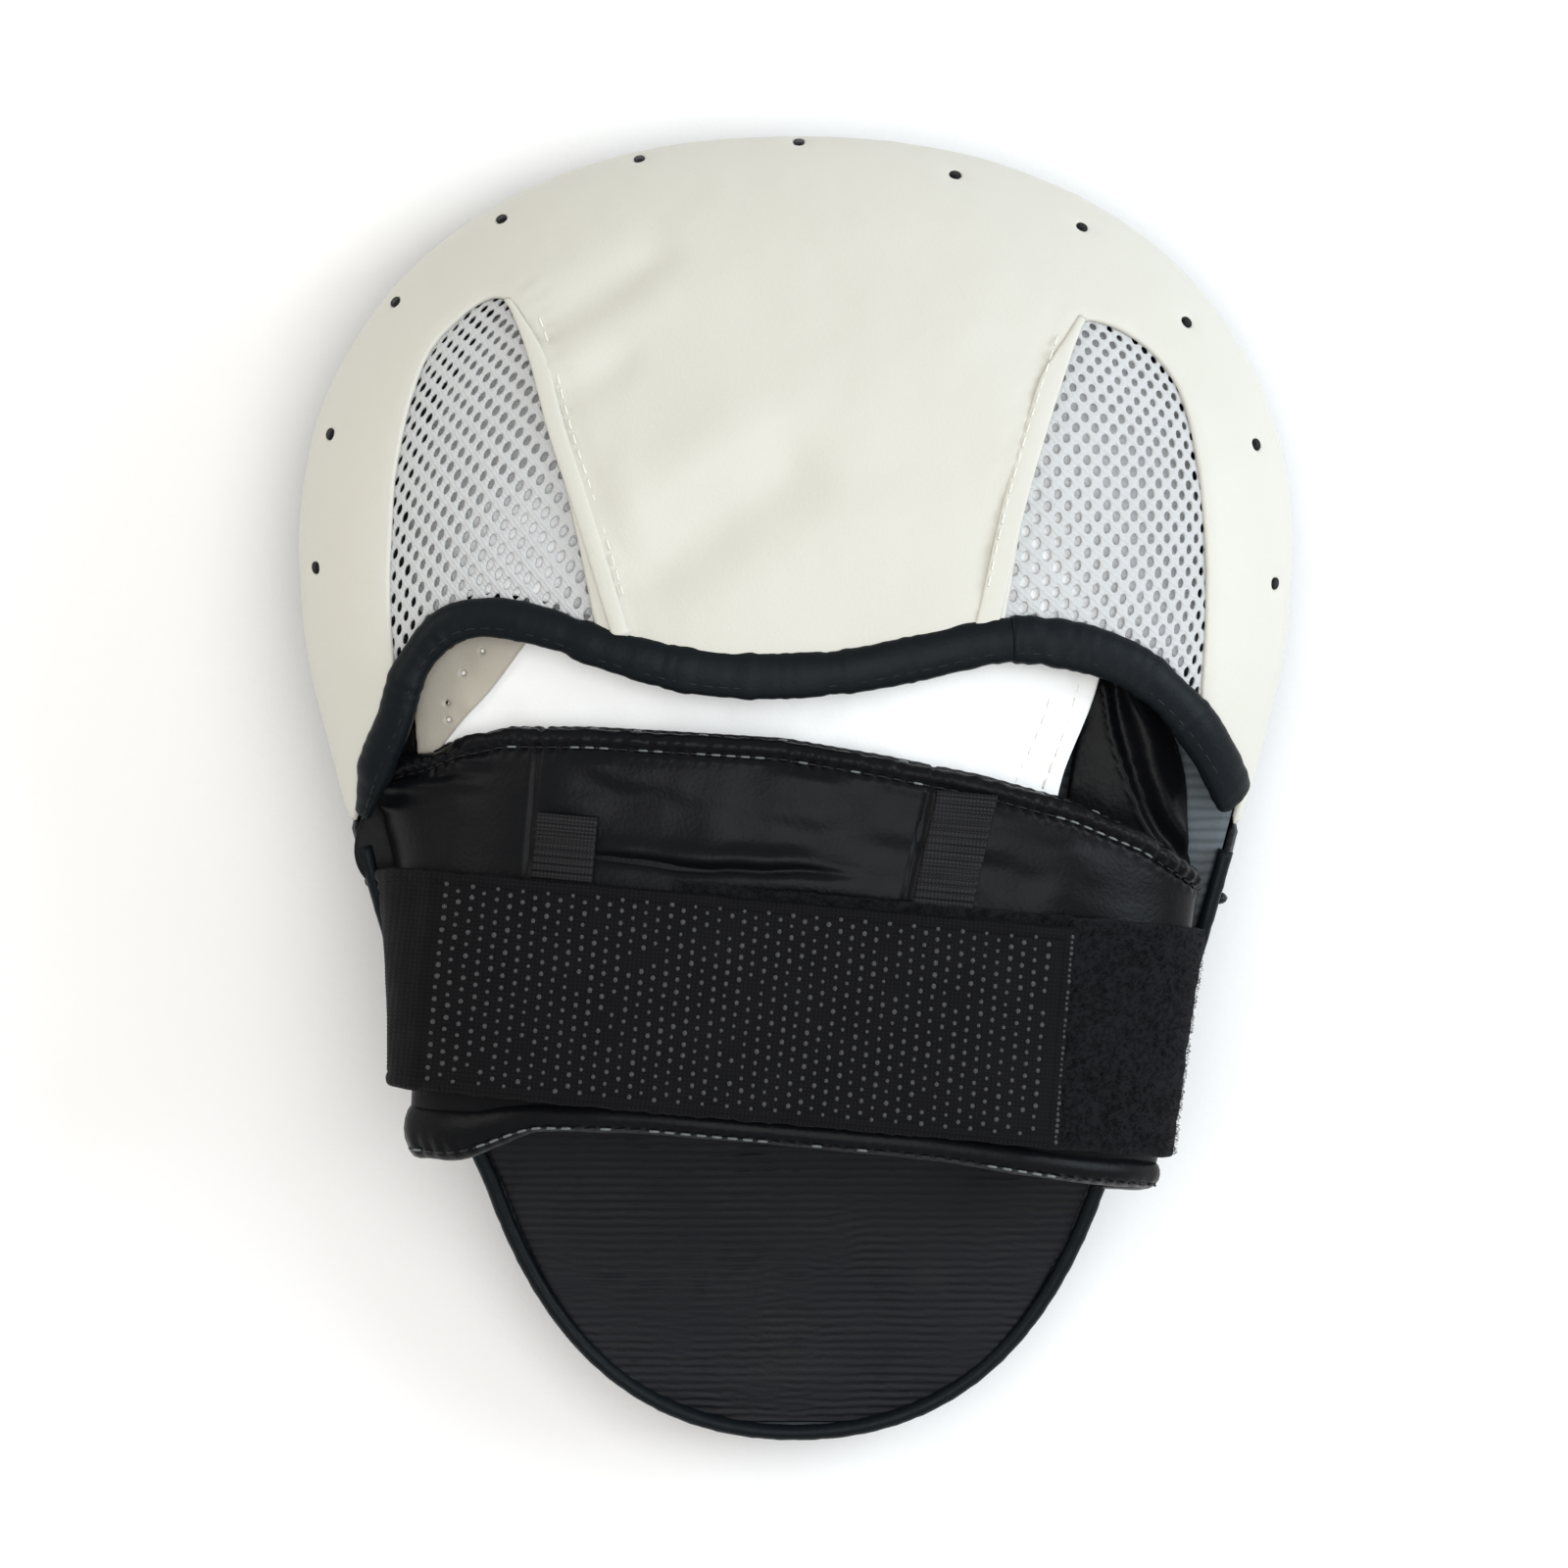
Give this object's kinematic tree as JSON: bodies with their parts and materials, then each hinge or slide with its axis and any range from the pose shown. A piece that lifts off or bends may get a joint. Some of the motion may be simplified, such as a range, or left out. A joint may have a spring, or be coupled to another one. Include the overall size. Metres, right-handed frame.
{
  "type": "focus mitt",
  "caption": "Curved boxing and martial-arts focus mitt with a perforated hood over the fingers, a padded wrist cuff and a hook-and-loop wrist strap.",
  "frame": {"origin": "centre of the pad in plan, on the surface the striking face lies on", "axes": "+Y towards the fingertips, +Z out of the back of the hand, +X to the right seen from above"},
  "size_m": [0.1904, 0.2516, 0.0811],
  "materials": {
    "white_leather": "satin warm white",
    "black_leather": "smooth satin black",
    "black_ribbed_leather": "fine ribbed matt black",
    "white_mesh": "cool white sandwich mesh",
    "black_webbing": "ribbed woven webbing",
    "hook_tape": "woven hook tape",
    "loop_tape": "brushed loop pile",
    "foam": "closed-cell foam"
  },
  "bodies": {
    "mitt": {"strike_face_cover": "black_leather", "foam_face_layer": "foam", "foam_core_layer": "foam", "foam_back_layer": "foam", "back_lining": "black_ribbed_leather", "side_band_heel": "black_ribbed_leather", "side_band_upper": "white_leather", "strike_piping": "black_leather", "heel_edge_piping": "black_leather", "heel_back_cover": "black_ribbed_leather", "palm_ball_core": "foam", "palm_ball_cover": "black_leather", "hood_shell": "white_leather", "hood_binding_left": "black_leather", "hood_binding_right": "black_leather", "hood_mesh_left": "white_mesh", "hood_mesh_right": "white_mesh", "hood_hem_left": "white_leather", "hood_hem_right": "white_leather", "hood_padding": "foam", "hood_lining": "white_mesh", "hand_panel": "white_mesh", "side_gusset_left": "black_leather", "side_gusset_right": "black_leather", "cuff_shell": "black_leather", "cuff_foam": "foam", "cuff_lining": "black_ribbed_leather", "cuff_bottom_roll": "black_leather", "webbing_tape_left": "black_webbing", "webbing_tape_right": "black_webbing", "loop_tape": "loop_tape", "strap_root": "hook_tape"},
    "strap_middle": {"strap_middle": "hook_tape"},
    "strap_front": {"strap_front": "hook_tape"},
    "strap_tip": {"strap_tip": "hook_tape"}
  },
  "joints": [
    {"name": "strap_peel_root", "type": "hinge", "parent": "mitt", "child": "strap_middle", "pos_m": [-0.05952, -0.03759, 0.07301], "axis": [-0.0907, -0.9959, 0], "range_deg": [0, 110]},
    {"name": "strap_peel_front", "type": "hinge", "parent": "strap_middle", "child": "strap_front", "pos_m": [-0.00803, -0.04227, 0.08106], "axis": [-0.0907, -0.9959, 0], "range_deg": [0, 70]},
    {"name": "strap_peel_tip", "type": "hinge", "parent": "strap_front", "child": "strap_tip", "pos_m": [0.02277, -0.04507, 0.08048], "axis": [-0.0907, -0.9959, 0], "range_deg": [0, 60]}
  ]
}
